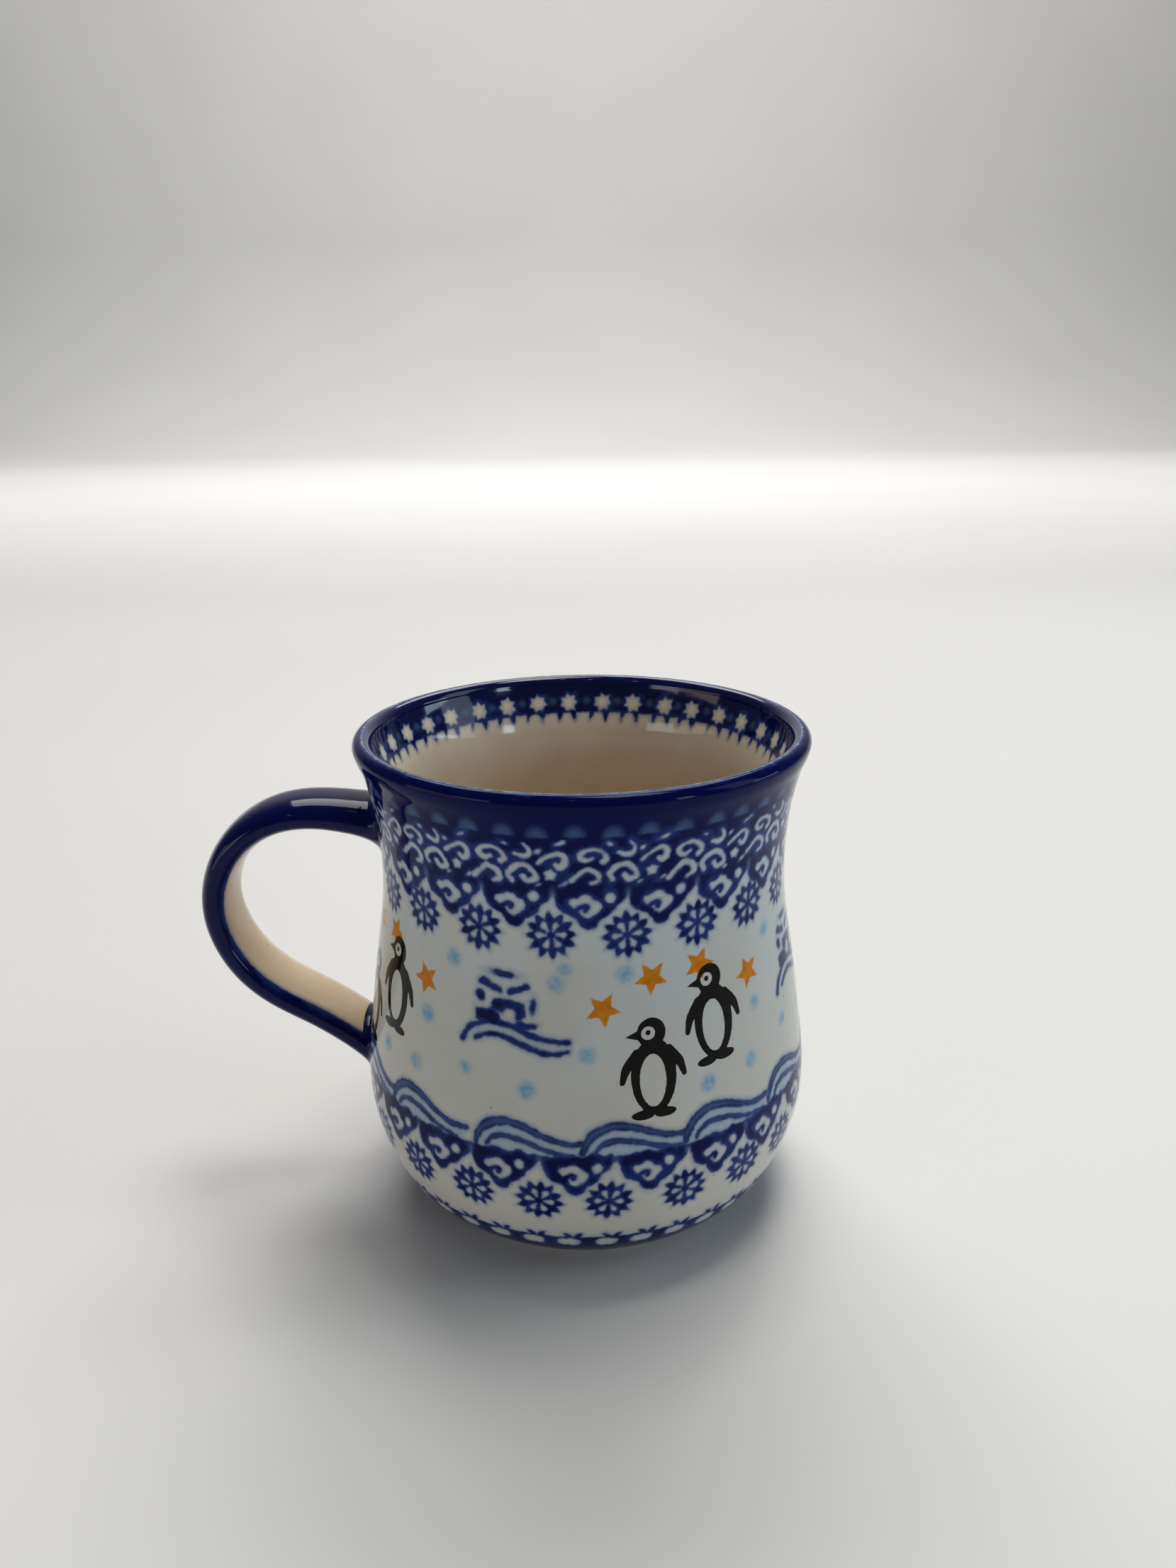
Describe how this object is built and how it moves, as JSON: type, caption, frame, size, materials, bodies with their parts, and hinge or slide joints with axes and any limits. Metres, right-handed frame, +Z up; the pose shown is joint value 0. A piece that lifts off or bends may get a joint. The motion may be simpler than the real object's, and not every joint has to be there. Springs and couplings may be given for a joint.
{
  "type": "belly mug",
  "caption": "Stoneware belly mug with a flared rim, a turned foot ring and one strap handle luted on; stamped and painted under a clear glaze.",
  "frame": {"origin": "centre of the foot ring, in the plane that it stands on", "axes": "+Z up the mug's axis, the handle towards -X, the painted scene that faces a viewer towards -Y"},
  "size_m": [0.1241, 0.0923, 0.1],
  "materials": {
    "fired_clay": "bare fired stoneware, matt",
    "decorated_glaze": "clear gloss over stamped and painted colour",
    "liner_glaze": "clear gloss, cream",
    "cobalt_glaze": "gloss over dense cobalt"
  },
  "bodies": {
    "root": {"stoneware_body": "fired_clay", "stoneware_handle": "fired_clay", "upper_slip_joint": "cobalt_glaze", "lower_slip_joint": "cobalt_glaze", "outer_glaze": "decorated_glaze", "liner_glaze": "liner_glaze", "handle_glaze": "cobalt_glaze"}
  },
  "joints": []
}
